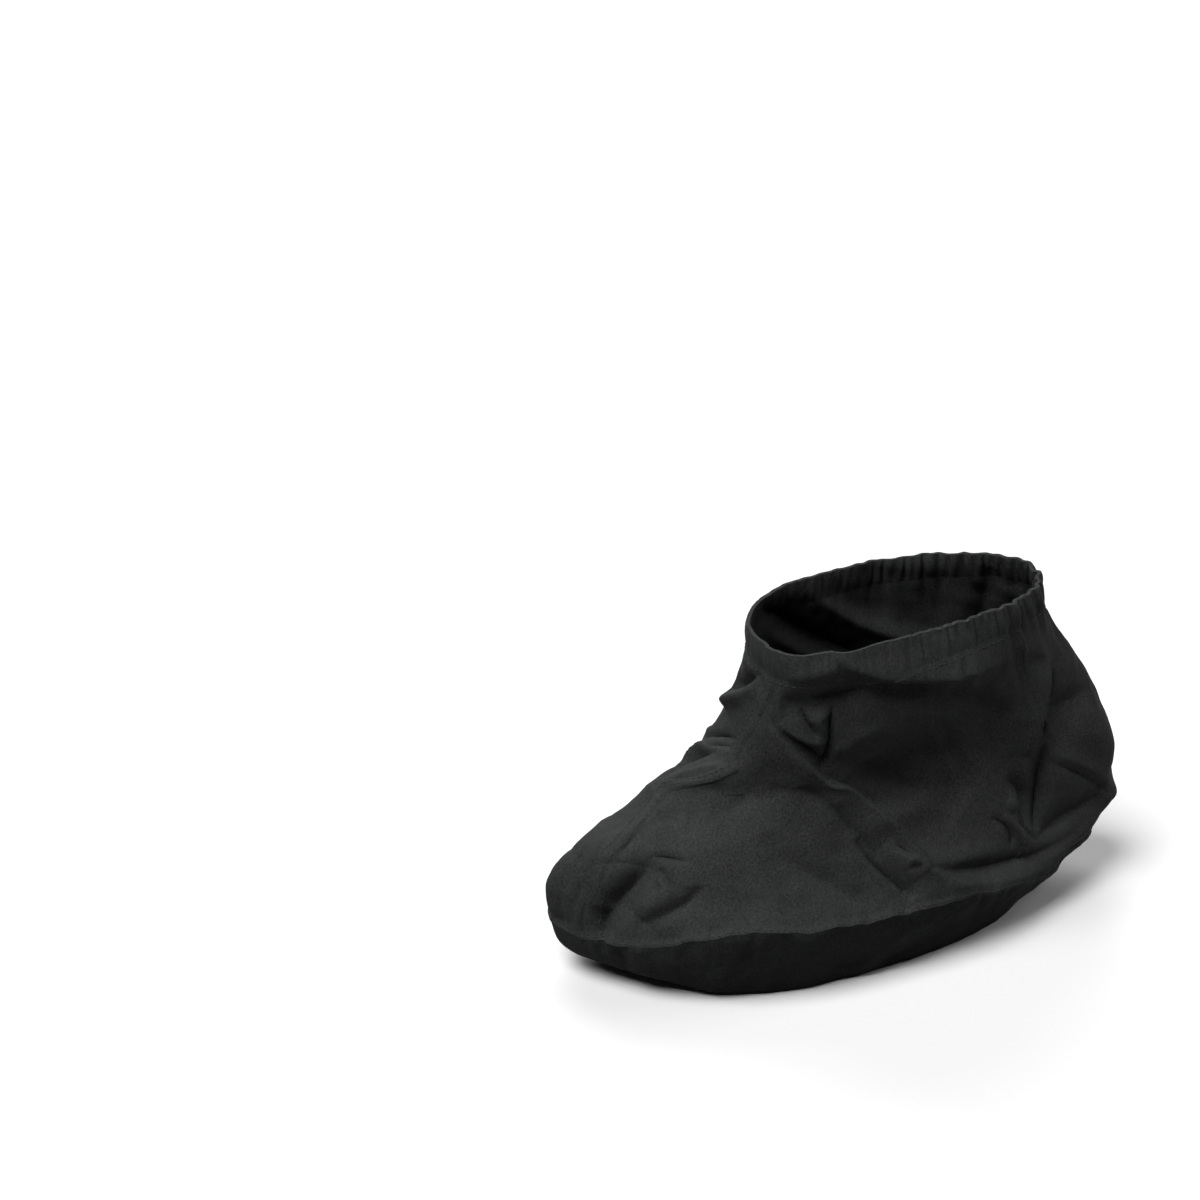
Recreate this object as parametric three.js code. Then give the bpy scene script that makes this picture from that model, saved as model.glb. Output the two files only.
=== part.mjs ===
// Cleanroom overshoe for the left foot: a woven cloth cover with a sole pan, two upper halves,
// a heel panel and an elastic hem round the ankle. Millimetres, +Z up, toe towards -Y,
// outer side of the foot towards +X, standing on z = 0.

import * as THREE from 'three';

// Driving sizes
const FOOT_LENGTH = 294;        // toe to heel, measured along the sole seam
const FOOT_WIDTH = 106;         // across the ball of the foot
const HEIGHT = 168;             // floor to the top of the hem
const OPENING_LENGTH = 147;     // ankle opening, front to back
const OPENING_WIDTH = 81;       // ankle opening, side to side
const OPENING_SETBACK = 28;     // middle of the opening, behind the middle of the foot
const BAND_HEIGHT = 26;         // sole seam above the floor
const CLOTH = 1.6;              // upper and sole wall
const HEM_THICKNESS = 3.4;      // folded casing with its elastic
const SEAM_GAP = 0.3;           // clearance between neighbouring pieces
const TOE_SLANT_LATERAL = 0.42; // how fast the toe falls back towards the little toe
const TOE_SLANT_MEDIAL = 0.70;  // how fast it reaches forward towards the big toe
const GATHER_DEPTH = 1.5;       // ripple of the gathered hem at the back of the ankle
const GATHER_COUNT = 18;        // ripples round the whole hem
const GATHER_START = 0.72;      // share of the way up where the ripples begin

// Where the sole pan turns under, inwards from the sole seam, and how far it lifts off the floor
const SIDE_TURN = 4;
const SIDE_UNDERCUT = 7;        // how far the band slopes in below the sole seam, along the sides
const HEEL_UNDERCUT = 14;
const TOE_TURN = 16;
const HEEL_TURN = 24;
const TOE_SPRING = 8;
const HEEL_SPRING = 12;
const TREAD_MARGIN = 4;         // from the turned edge in to the flat tread, at the sides
const TREAD_MARGIN_ENDS = 12;   // the same at the toe and the heel
const SPINE_FRONT = -0.29;      // ends of the sole's middle line, as shares of FOOT_LENGTH
const SPINE_BACK = 0.30;
const TOE_SHAPE_START = 0.17;   // where the toe's shaping begins and is full, as shares of FOOT_LENGTH
const TOE_SHAPE_END = 0.44;
const HEEL_SHAPE_START = 0.24;  // the same towards the heel
const HEEL_SHAPE_END = 0.49;
const END_POWER = 1.2;          // how late the toe and heel shaping comes in

// Panels, as shares of the way round from the toe seam by the outer side
const SIDE_SEAM = 0.375;
const HEM_START = 0.915;        // share of the way up from the sole seam

// Mesh fineness
const COLUMNS_HALF = 40;
const UPPER_ROWS = 24;
const HEM_ROWS = 3;
const BAND_ROWS = 4;
const FINE_COLUMNS = 240;
const FINE_ROWS = 100;
const NARROWEST_FOLD = 7.5;     // a narrower fold is rounded out to this half width

// Rings of the foot, from the sole seam up to the instep. Heights are shares of the upper's height,
// lengths of FOOT_LENGTH, widths of FOOT_WIDTH. The three round values are superellipse powers.
const RING_COLUMNS = ['frontHeight', 'backHeight', 'front', 'back', 'widest', 'lateral', 'medial', 'heel',
  'frontRound', 'medialRound', 'backRound', 'ridge', 'lift'];
const FOOT_RINGS = [
  [0.00, 0.01, -0.447, 0.492, -0.060, 0.552, 0.475, 0.375, 2.25, 2.5, 2.6, 0.00, 0.082],
  [0.11, 0.12, -0.450, 0.513, -0.070, 0.460, 0.445, 0.385, 2.05, 2.4, 2.6, 0.00, 0.034],
  [0.21, 0.24, -0.442, 0.516, -0.070, 0.378, 0.430, 0.390, 1.85, 2.3, 2.5, 0.00, 0.005],
  [0.29, 0.35, -0.416, 0.506, -0.070, 0.308, 0.415, 0.380, 1.72, 2.0, 2.5, -0.02, 0],
  [0.35, 0.45, -0.358, 0.492, -0.060, 0.260, 0.400, 0.370, 1.60, 1.9, 2.4, -0.06, 0],
  [0.41, 0.53, -0.292, 0.470, -0.040, 0.240, 0.395, 0.360, 1.60, 1.9, 2.4, -0.10, 0],
];
// Rings of the ankle, up to the top of the hem. Lengths are shares of OPENING_LENGTH from the middle of
// the opening, widths of OPENING_WIDTH.
const ANKLE_RINGS = [
  [0.485, 0.61, -0.65, 0.71, -0.15, 0.370, 0.530, 0.42, 1.6, 2.4, 2.2, -0.04, 0],
  [0.585, 0.70, -0.56, 0.65, -0.09, 0.420, 0.555, 0.42, 1.8, 3.0, 2.2, 0.04, 0],
  [0.710, 0.79, -0.52, 0.58, -0.04, 0.455, 0.555, 0.42, 2.0, 3.2, 2.2, 0.09, 0],
  [0.845, 0.90, -0.50, 0.53, 0.00, 0.460, 0.540, 0.43, 2.1, 3.2, 2.2, 0.13, 0],
  [0.960, 1.00, -0.50, 0.50, 0.01, 0.470, 0.530, 0.46, 2.1, 3.0, 2.2, 0.13, 0],
];

// Folds of the cloth. Start, middle and end are shares round the cover (0 to 1, from the toe seam by the
// outer side; below 0 is the inner side) and up it. Height and half widths are shares of FOOT_WIDTH:
// a minus height is a valley, left and right are as seen from outside, looking along the fold.
const FOLD_COLUMNS = ['round0', 'up0', 'round1', 'up1', 'round2', 'up2', 'height', 'left', 'right'];
const FOLDS = [
  // Outer side: the crest from the instep to the sole, with a valley before it and a hollow behind it
  [0.015, 0.809, 0.198, 0.400, 0.280, 0.106, 0.052, 0.05, 0.19],
  [0.230, 0.213, 0.270, 0.101, 0.318, 0.029, 0.040, 0.05, 0.09],
  [0.107, 0.564, 0.193, 0.317, 0.255, 0.043, -0.030, 0.05, 0.05],
  [0.123, 0.342, 0.172, 0.175, 0.238, 0.024, -0.020, 0.06, 0.07],
  [0.167, 0.654, 0.258, 0.431, 0.310, 0.275, -0.045, 0.20, 0.19],
  [0.217, 0.270, 0.250, 0.298, 0.287, 0.308, 0.028, 0.07, 0.07],
  // Tuck beside the instep, and the collar that bulges over the ankle with a shaded crescent below it
  [0.100, 0.829, 0.103, 0.739, 0.117, 0.611, -0.035, 0.05, 0.05],
  [0.030, 0.852, 0.083, 0.862, 0.142, 0.886, -0.060, 0.05, 0.08],
  [0.095, 0.991, 0.198, 0.886, 0.358, 0.838, 0.055, 0.09, 0.05],
  [0.103, 0.843, 0.193, 0.867, 0.300, 0.740, -0.030, 0.05, 0.08],
  [0.060, 1.000, 0.250, 0.986, 0.455, 1.000, -0.045, 0.09, 0.09],
  // Side seam: the pit beside it and the pleat behind it
  [0.347, 0.317, 0.365, 0.242, 0.360, 0.144, -0.055, 0.06, 0.06],
  [0.418, 0.756, 0.385, 0.597, 0.373, 0.385, 0.044, 0.05, 0.08],
  [0.388, 0.409, 0.388, 0.217, 0.377, 0.116, -0.040, 0.05, 0.06],
  // Heel panel: a shaded fold at the top, a bulge, the crease down to the corner and the hollow under it
  [0.393, 0.520, 0.418, 0.535, 0.467, 0.520, -0.052, 0.07, 0.08],
  [0.433, 0.478, 0.453, 0.332, 0.467, 0.183, 0.035, 0.10, 0.10],
  [0.393, 0.332, 0.427, 0.222, 0.467, 0.101, -0.035, 0.05, 0.05],
  [0.375, 0.096, 0.412, 0.116, 0.460, 0.125, -0.048, 0.10, 0.05],
  // Skirt along the sole seam, from the middle of the foot to the heel
  [0.280, 0.053, 0.345, 0.029, 0.410, 0.034, 0.040, 0.06, 0.07],
  [0.375, 0.053, 0.428, 0.058, 0.467, 0.091, 0.026, 0.05, 0.05],
  [0.290, 0.101, 0.347, 0.067, 0.405, 0.072, -0.036, 0.05, 0.05],
  // Toe: the deep dimple, the bump beside it and the shade round the bump
  [0.045, 0.289, 0.032, 0.180, 0.013, 0.047, -0.060, 0.06, 0.06],
  [0.043, 0.207, 0.050, 0.142, 0.047, 0.085, 0.035, 0.07, 0.07],
  [0.083, 0.199, 0.075, 0.133, 0.040, 0.071, -0.024, 0.05, 0.05],
  [-0.035, 0.222, -0.035, 0.130, -0.033, 0.034, 0.026, 0.12, 0.12],
  [-0.038, 0.308, -0.023, 0.395, -0.013, 0.482, -0.026, 0.11, 0.11],
  // Instep, inner side: the rolled lip over the front of the ankle with its hollow, and the arch below it
  [-0.068, 0.748, -0.057, 0.786, -0.010, 0.876, 0.055, 0.05, 0.06],
  [-0.063, 0.801, -0.047, 0.829, -0.013, 0.900, -0.045, 0.05, 0.05],
  [-0.048, 0.521, -0.052, 0.602, -0.005, 0.677, 0.045, 0.05, 0.05],
  [-0.027, 0.502, -0.040, 0.592, -0.015, 0.654, -0.035, 0.05, 0.05],
  // Inner side: folds that fan out from the instep to the sole and the heel
  [-0.045, 0.639, -0.090, 0.430, -0.110, 0.220, -0.035, 0.05, 0.06],
  [-0.053, 0.663, -0.150, 0.420, -0.235, 0.150, 0.055, 0.10, 0.05],
  [-0.100, 0.700, -0.190, 0.520, -0.310, 0.240, -0.045, 0.06, 0.07],
  [-0.068, 0.739, -0.180, 0.590, -0.300, 0.360, 0.030, 0.05, 0.06],
  [-0.120, 0.970, -0.230, 0.760, -0.330, 0.500, 0.050, 0.07, 0.06],
  [-0.140, 0.880, -0.230, 0.680, -0.320, 0.420, -0.030, 0.05, 0.05],
  [-0.200, 0.960, -0.290, 0.780, -0.400, 0.600, -0.040, 0.06, 0.06],
  [-0.355, 0.520, -0.375, 0.300, -0.370, 0.080, 0.030, 0.07, 0.05],
  // Back: two soft folds below the gathers
  [-0.440, 0.950, -0.420, 0.780, -0.400, 0.620, 0.035, 0.06, 0.06],
  [0.453, 1.000, 0.500, 0.800, 0.500, 0.660, -0.035, 0.06, 0.06],
];

const RING_DETAIL = 400;        // points worked out along each half ring before it is spaced evenly
const FOLD_STEPS = 20;          // straight steps along a fold
const FOLD_TAPER = 0.6;         // how bluntly a fold runs out at its ends
const SLANT_FADE_START = 45;    // height below which the toe slants fully
const SLANT_FADE_END = 95;      // height above which it doesn't slant
const SLANT_POWER = 1.5;        // how much of the slant is kept for the very front
const LIFT_PEAK = 27 / 16;      // highest value of the curve that shapes the lift at the outer side
const SEAM_DIP = 8;             // how far the sole seam dips beside the outer heel
const DIP_ROUND = 0.395;        // where it dips, as a share round the cover
const DIP_REACH = 0.035;        // how far round the dip reaches
const DIP_TOP = 0.20;           // how far up the cover the dip is felt

const clamp = (value, low, high) => Math.min(Math.max(value, low), high);
const mix = (a, b, share) => a + (b - a) * share;
const smooth = (share) => share * share * (3 - 2 * share);

// A table row with its columns by name
function named(columns, row) {
  return Object.fromEntries(columns.map((column, index) => [column, row[index]]));
}

// A ring row in millimetres
function ringSizes(row, length, width, setback) {
  const ring = named(RING_COLUMNS, row);
  const rise = HEIGHT - BAND_HEIGHT;
  return {
    frontHeight: BAND_HEIGHT + ring.frontHeight * rise,
    backHeight: BAND_HEIGHT + ring.backHeight * rise,
    front: setback + ring.front * length,
    back: setback + ring.back * length,
    widest: setback + ring.widest * length,
    lateral: ring.lateral * width,
    medial: ring.medial * width,
    heel: ring.heel * width,
    frontRound: ring.frontRound,
    medialRound: ring.medialRound,
    backRound: ring.backRound,
    ridge: ring.ridge * width,
    lift: ring.lift * rise,
  };
}

const RINGS = [
  ...FOOT_RINGS.map((row) => ringSizes(row, FOOT_LENGTH, FOOT_WIDTH, 0)),
  ...ANKLE_RINGS.map((row) => ringSizes(row, OPENING_LENGTH, OPENING_WIDTH, OPENING_SETBACK)),
];

// The ring at a share of the way up, each value on a smooth curve through the table
function ringAt(up) {
  const place = clamp(up, 0, 1) * (RINGS.length - 1);
  const index = Math.min(Math.floor(place), RINGS.length - 2);
  const share = place - index;
  const before = RINGS[Math.max(index - 1, 0)];
  const from = RINGS[index];
  const to = RINGS[index + 1];
  const after = RINGS[Math.min(index + 2, RINGS.length - 1)];
  const share2 = share * share;
  const share3 = share2 * share;
  const ring = {};
  for (const column of RING_COLUMNS) {
    const leave = (to[column] - before[column]) / 2;
    const arrive = (after[column] - from[column]) / 2;
    ring[column] = (2 * share3 - 3 * share2 + 1) * from[column] + (share3 - 2 * share2 + share) * leave
      + (3 * share2 - 2 * share3) * to[column] + (share3 - share2) * arrive;
  }
  return ring;
}

// One point of a ring, by the angle from the toe round the outer side
function ringPoint(ring, angle) {
  const ahead = Math.cos(angle);
  const aside = Math.sin(angle);
  const outer = aside >= 0;
  const forward = Math.max(ahead, 0);
  const behind = smooth(Math.max(-ahead, 0));
  const halfWidth = mix(outer ? ring.lateral : ring.medial, ring.heel, behind);
  const frontRound = outer ? ring.frontRound : ring.medialRound;
  const power = 2 / (ahead >= 0 ? frontRound : ring.backRound);
  const reach = (ahead >= 0 ? ring.front : ring.back) - ring.widest;
  const across = halfWidth * Math.sign(aside) * Math.abs(aside) ** power;
  const x = across + ring.ridge * forward ** 2;
  const fade = clamp((SLANT_FADE_END - ring.frontHeight) / (SLANT_FADE_END - SLANT_FADE_START), 0, 1);
  const slant = (outer ? TOE_SLANT_LATERAL : TOE_SLANT_MEDIAL) * fade * forward ** SLANT_POWER;
  const y = ring.widest + reach * Math.abs(ahead) ** power + slant * (x - ring.ridge);
  const level = mix(ring.frontHeight, ring.backHeight, (1 - ahead) / 2);
  const z = level + ring.lift * Math.max(aside, 0) ** 2 * (1 + ahead) ** 2 / LIFT_PEAK;
  return new THREE.Vector3(x, y, z);
}

// Evenly spaced points along half a ring
function halfRing(ring, start, end, columns) {
  const points = [];
  for (let i = 0; i <= RING_DETAIL; i += 1) {
    points.push(ringPoint(ring, mix(start, end, i / RING_DETAIL)));
  }
  const reached = [0];
  for (let i = 1; i < points.length; i += 1) {
    reached.push(reached[i - 1] + points[i].distanceTo(points[i - 1]));
  }
  const spaced = [];
  let step = 1;
  for (let k = 0; k <= columns; k += 1) {
    const target = reached[RING_DETAIL] * k / columns;
    while (step < RING_DETAIL && reached[step] < target) {
      step += 1;
    }
    const share = (target - reached[step - 1]) / (reached[step] - reached[step - 1]);
    spaced.push(points[step - 1].clone().lerp(points[step], share));
  }
  return spaced;
}

// The unfolded surface: rows up the cover, columns round it, the first column repeated at the end
function plainSurface(columnsHalf, ups) {
  return ups.map((up) => {
    const ring = ringAt(up);
    const outer = halfRing(ring, 0, Math.PI, columnsHalf);
    const inner = halfRing(ring, Math.PI, 2 * Math.PI, columnsHalf);
    const points = [...outer, ...inner.slice(1)];
    const fade = Math.max(1 - up / DIP_TOP, 0) ** 2;
    points.forEach((point, j) => {
      const away = (j / (2 * columnsHalf) - DIP_ROUND) / DIP_REACH;
      point.z -= SEAM_DIP * fade * Math.exp(-(away ** 2));
    });
    return points;
  });
}

// Outward normals of a surface that closes on itself round the cover
function surfaceNormals(surface) {
  const last = surface[0].length - 1;
  return surface.map((row, i) => row.map((point, j) => {
    const around = row[j === last ? 1 : j + 1].clone().sub(row[j === 0 ? last - 1 : j - 1]);
    const above = surface[Math.min(i + 1, surface.length - 1)][j];
    const below = surface[Math.max(i - 1, 0)][j];
    return around.cross(above.clone().sub(below)).normalize();
  }));
}

// A point of a surface at shares round and up
function surfacePoint(surface, round, up) {
  const rows = surface.length - 1;
  const columns = surface[0].length - 1;
  const rowPlace = clamp(up, 0, 1) * rows;
  const columnPlace = (round - Math.floor(round)) * columns;
  const i = Math.min(Math.floor(rowPlace), rows - 1);
  const j = Math.min(Math.floor(columnPlace), columns - 1);
  const low = surface[i][j].clone().lerp(surface[i][j + 1], columnPlace - j);
  const high = surface[i + 1][j].clone().lerp(surface[i + 1][j + 1], columnPlace - j);
  return low.lerp(high, rowPlace - i);
}

// The line of a fold on the unfolded surface, through its start, middle and end
function foldLine(fold, surface) {
  const bend = (start, middle, end, t) => {
    const pull = 2 * middle - (start + end) / 2;
    return (1 - t) ** 2 * start + 2 * t * (1 - t) * pull + t * t * end;
  };
  const line = [];
  for (let k = 0; k <= FOLD_STEPS; k += 1) {
    const t = k / FOLD_STEPS;
    const round = bend(fold.round0, fold.round1, fold.round2, t);
    line.push(surfacePoint(surface, round, bend(fold.up0, fold.up1, fold.up2, t)));
  }
  return line;
}

// How far a fold lifts the cloth at a point with this normal
function foldLift(fold, line, point, normal) {
  let nearest = Infinity;
  let along = 0;
  let right = 0;
  for (let k = 0; k < line.length - 1; k += 1) {
    const step = line[k + 1].clone().sub(line[k]);
    const share = clamp(point.clone().sub(line[k]).dot(step) / step.lengthSq(), 0, 1);
    const away = point.clone().sub(line[k]).addScaledVector(step, -share);
    if (away.length() < nearest) {
      nearest = away.length();
      along = (k + share) / (line.length - 1);
      right = step.cross(normal).dot(away);
    }
  }
  const halfWidth = Math.max((right >= 0 ? fold.right : fold.left) * FOOT_WIDTH, NARROWEST_FOLD);
  const taper = Math.max(Math.sin(Math.PI * along), 0) ** FOLD_TAPER;
  return fold.height * FOOT_WIDTH * taper * Math.exp(-((nearest / halfWidth) ** 2));
}

// Ripple of the elastic hem, deepest at the back of the ankle
function gather(round, up) {
  const nearHem = smooth(clamp((up - GATHER_START) / (HEM_START - GATHER_START), 0, 1));
  const behind = smooth((1 - Math.cos(2 * Math.PI * round)) / 2);
  return GATHER_DEPTH * nearHem * behind * Math.cos(2 * Math.PI * GATHER_COUNT * round);
}

// The folded surface, with the height of each row as a share of the way up
function foldedSurface(ups) {
  const fineUps = Array.from({ length: FINE_ROWS + 1 }, (unused, i) => i / FINE_ROWS);
  const fine = plainSurface(FINE_COLUMNS / 2, fineUps);
  const folds = FOLDS.map((row) => named(FOLD_COLUMNS, row));
  const lines = folds.map((fold) => foldLine(fold, fine));
  const plain = plainSurface(COLUMNS_HALF, ups);
  const normals = surfaceNormals(plain);
  return plain.map((row, i) => row.map((point, j) => {
    const normal = normals[i][j];
    let lift = gather(j / (2 * COLUMNS_HALF), ups[i]);
    folds.forEach((fold, k) => {
      lift += foldLift(fold, lines[k], point, normal);
    });
    return point.clone().addScaledVector(normal, lift);
  }));
}

// A mesh of the points of two grids, outer then inner, with these triangles between them
function meshGeometry(grids, columns, indices) {
  const positions = grids.flatMap((grid) => grid.flatMap((row) => row.slice(0, columns)
    .flatMap((point) => [point.x, point.y, point.z])));
  const geometry = new THREE.BufferGeometry();
  geometry.setAttribute('position', new THREE.Float32BufferAttribute(positions, 3));
  geometry.setIndex(indices);
  return geometry;
}

// A closed shell between an outer and an inner grid of the same size. With closed columns it is a band
// round the foot, otherwise a panel with four edges.
function shellGeometry(outer, inner, closed) {
  const rows = outer.length;
  const columns = closed ? outer[0].length - 1 : outer[0].length;
  const at = (side, i, j) => side * rows * columns + i * columns + (j % columns);
  const indices = [];
  const quad = (a, b, c, d) => indices.push(a, b, c, a, c, d);
  const spans = closed ? columns : columns - 1;
  for (let i = 0; i < rows - 1; i += 1) {
    for (let j = 0; j < spans; j += 1) {
      // Each cell is split along its shorter diagonal, so that a fold runs through it cleanly
      const rising = outer[i][j].distanceTo(outer[i + 1][j + 1]);
      const falling = outer[i][j + 1].distanceTo(outer[i + 1][j]);
      if (rising < falling) {
        quad(at(0, i, j), at(0, i, j + 1), at(0, i + 1, j + 1), at(0, i + 1, j));
        quad(at(1, i, j), at(1, i + 1, j), at(1, i + 1, j + 1), at(1, i, j + 1));
      } else {
        quad(at(0, i, j + 1), at(0, i + 1, j + 1), at(0, i + 1, j), at(0, i, j));
        quad(at(1, i, j + 1), at(1, i, j), at(1, i + 1, j), at(1, i + 1, j + 1));
      }
    }
  }
  for (let j = 0; j < spans; j += 1) {
    quad(at(0, 0, j), at(1, 0, j), at(1, 0, j + 1), at(0, 0, j + 1));
    quad(at(0, rows - 1, j), at(0, rows - 1, j + 1), at(1, rows - 1, j + 1), at(1, rows - 1, j));
  }
  if (!closed) {
    for (let i = 0; i < rows - 1; i += 1) {
      quad(at(0, i, 0), at(0, i + 1, 0), at(1, i + 1, 0), at(1, i, 0));
      quad(at(0, i, spans), at(1, i, spans), at(1, i + 1, spans), at(0, i + 1, spans));
    }
  }
  return meshGeometry([outer, inner], columns, indices);
}

// A grid moved along its normals by a distance for each row
function offset(grid, normals, distanceAt) {
  return grid.map((row, i) => row.map((point, j) => point.clone().addScaledVector(normals[i][j], distanceAt(i))));
}

// Rows of the upper from the sole seam to the hem, then the rows of the hem
const UPPER_UPS = Array.from({ length: UPPER_ROWS + 1 }, (unused, i) => HEM_START * i / UPPER_ROWS);
const HEM_UPS = Array.from({ length: HEM_ROWS + 1 }, (unused, i) => mix(HEM_START, 1, i / HEM_ROWS));
const SURFACE = foldedSurface([...UPPER_UPS, ...HEM_UPS.slice(1)]);
const NORMALS = surfaceNormals(SURFACE);

// A point of the surface moved half the seam gap away from a seam, round and up the cover by -1, 0 or 1
function clearOfSeam(i, j, roundWay, upWay) {
  const last = SURFACE[0].length - 1;
  const ahead = SURFACE[i][j === last ? 1 : j + 1];
  const behind = SURFACE[i][j === 0 ? last - 1 : j - 1];
  const above = SURFACE[Math.min(i + 1, SURFACE.length - 1)][j];
  const below = SURFACE[Math.max(i - 1, 0)][j];
  const around = ahead.clone().sub(behind).normalize();
  const upwards = above.clone().sub(below).normalize();
  const place = SURFACE[i][j].clone();
  place.addScaledVector(around, roundWay * SEAM_GAP / 2);
  return place.addScaledVector(upwards, upWay * SEAM_GAP / 2);
}

// One panel of the upper, between two columns, cut back at its four seams
function panelGeometry(start, end) {
  const rows = [];
  for (let i = 0; i <= UPPER_ROWS; i += 1) {
    const row = [];
    for (let j = start; j <= end; j += 1) {
      const roundWay = (j === start ? 1 : 0) - (j === end ? 1 : 0);
      const upWay = (i === 0 ? 1 : 0) - (i === UPPER_ROWS ? 1 : 0);
      row.push(clearOfSeam(i, j, roundWay, upWay));
    }
    rows.push(row);
  }
  const normals = NORMALS.slice(0, UPPER_ROWS + 1).map((row) => row.slice(start, end + 1));
  return shellGeometry(offset(rows, normals, () => CLOTH / 2), offset(rows, normals, () => -CLOTH / 2), false);
}

// The elastic hem: a casing that swells between its stitched edge and its top fold
function hemGeometry() {
  const rows = SURFACE.slice(UPPER_ROWS);
  const first = rows[0].map((point, j) => clearOfSeam(UPPER_ROWS, j, 0, 1));
  const cut = [first, ...rows.slice(1)];
  const normals = NORMALS.slice(UPPER_ROWS);
  const swell = (i) => mix(CLOTH, HEM_THICKNESS, Math.sin(Math.PI * i / HEM_ROWS)) / 2;
  return shellGeometry(offset(cut, normals, swell), offset(cut, normals, (i) => -swell(i)), true);
}

// How much of the toe and heel shaping applies at a place along the foot
const shareBetween = (value, start, end) => clamp((value - start) / (end - start), 0, 1) ** END_POWER;
const toeShare = (y) => shareBetween(-y / FOOT_LENGTH, TOE_SHAPE_START, TOE_SHAPE_END);
const heelShare = (y) => shareBetween(y / FOOT_LENGTH, HEEL_SHAPE_START, HEEL_SHAPE_END);

// The sole pan: a band that hangs from the sole seam, turns under and carries the flat tread
function soleGeometry() {
  const top = SURFACE[0];
  const plainTop = plainSurface(COLUMNS_HALF, [0])[0];
  const inward = plainTop.map((point) => {
    const spine = clamp(point.y, SPINE_FRONT * FOOT_LENGTH, SPINE_BACK * FOOT_LENGTH);
    return new THREE.Vector3(-point.x, spine - point.y, 0).normalize();
  });
  const grid = [];
  for (let i = 0; i <= BAND_ROWS; i += 1) {
    const angle = Math.PI / 2 * i / BAND_ROWS;
    grid.push(top.map((point, j) => {
      const toe = toeShare(plainTop[j].y);
      const heel = heelShare(plainTop[j].y);
      const turn = SIDE_TURN + (TOE_TURN - SIDE_TURN) * toe + (HEEL_TURN - SIDE_TURN) * heel;
      const floor = TOE_SPRING * toe + HEEL_SPRING * heel;
      const undercut = SIDE_UNDERCUT * (1 - toe) * (1 - heel) + HEEL_UNDERCUT * heel;
      const fade = (1 - i / BAND_ROWS) ** 2;
      const place = plainTop[j].clone().lerp(point, fade);
      place.addScaledVector(inward[j], turn * (1 - Math.cos(angle)) + undercut * Math.sin(angle));
      place.z = mix(floor, plainTop[j].z, 1 - Math.sin(angle)) + (point.z - plainTop[j].z) * fade;
      return place;
    }));
  }
  const tread = grid[BAND_ROWS].map((point, j) => {
    const ends = Math.max(toeShare(plainTop[j].y), heelShare(plainTop[j].y));
    const margin = mix(TREAD_MARGIN, TREAD_MARGIN_ENDS, ends);
    const place = point.clone().addScaledVector(inward[j], margin);
    place.z = 0;
    return place;
  });
  grid[0] = top.map((point, j) => clearOfSeam(0, j, 0, -1));
  return panGeometry([...grid, tread]);
}

// Closes a pan: the wall rows from the rim down to the tread outline, and the flat tread across
function panGeometry(wall) {
  const columns = wall[0].length - 1;
  const half = columns / 2;
  const rows = wall.length;
  const upsideDown = [...wall].reverse();
  const normals = surfaceNormals(upsideDown).reverse();
  normals[0] = NORMALS[0];
  const outer = offset(wall, normals, () => CLOTH / 2);
  const inner = offset(wall, normals, () => -CLOTH / 2);
  outer[rows - 1] = wall[rows - 1].map((point) => point.clone());
  inner[rows - 1] = wall[rows - 1].map((point) => point.clone().setZ(CLOTH));
  outer[rows - 2].forEach((point) => point.setZ(Math.max(point.z, 0)));
  const at = (side, i, j) => side * rows * columns + i * columns + (j % columns);
  const indices = [];
  const quad = (a, b, c, d) => indices.push(a, b, c, a, c, d);
  for (let j = 0; j < columns; j += 1) {
    for (let i = 0; i < rows - 1; i += 1) {
      quad(at(0, i, j), at(0, i + 1, j), at(0, i + 1, j + 1), at(0, i, j + 1));
      quad(at(1, i, j), at(1, i, j + 1), at(1, i + 1, j + 1), at(1, i + 1, j));
    }
    quad(at(0, 0, j), at(0, 0, j + 1), at(1, 0, j + 1), at(1, 0, j));
  }
  const last = rows - 1;
  const across = (side, flip) => {
    for (let k = 0; k < half; k += 1) {
      const a = at(side, last, k);
      const b = at(side, last, k + 1);
      const c = at(side, last, columns - k - 1);
      const d = at(side, last, columns - k);
      const loop = flip ? [d, c, b, a] : [a, b, c, d];
      const distinct = loop.filter((corner, index) => corner !== loop[(index + 1) % loop.length]);
      for (let m = 1; m < distinct.length - 1; m += 1) {
        indices.push(distinct[0], distinct[m], distinct[m + 1]);
      }
    }
  };
  across(0, true);
  across(1, false);
  return meshGeometry([outer, inner], columns, indices);
}

// Materials: black woven polyester, a closer weave under the foot
const upperCloth = new THREE.MeshStandardMaterial({ color: 0x1c1d1d, roughness: 0.62, metalness: 0 });
const soleCloth = new THREE.MeshStandardMaterial({ color: 0x151616, roughness: 0.75, metalness: 0 });
const hemCloth = new THREE.MeshStandardMaterial({ color: 0x181919, roughness: 0.66, metalness: 0 });

function piece(name, geometry, material) {
  geometry.computeVertexNormals();
  const mesh = new THREE.Mesh(geometry, material);
  mesh.name = name;
  return mesh;
}

const seamColumn = Math.round(SIDE_SEAM * 2 * COLUMNS_HALF);
const overshoe = new THREE.Group();
overshoe.add(
  piece('sole', soleGeometry(), soleCloth),
  piece('lateral_upper', panelGeometry(0, seamColumn), upperCloth),
  piece('heel_panel', panelGeometry(seamColumn, 2 * COLUMNS_HALF - seamColumn), upperCloth),
  piece('medial_upper', panelGeometry(2 * COLUMNS_HALF - seamColumn, 2 * COLUMNS_HALF), upperCloth),
  piece('top_hem', hemGeometry(), hemCloth),
);

// The origin is on the floor below the middle of the whole cover
const extent = new THREE.Box3().setFromObject(overshoe);
const middle = extent.getCenter(new THREE.Vector3());
overshoe.position.set(-middle.x, -middle.y, -extent.min.z);
overshoe.updateMatrixWorld(true);

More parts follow.
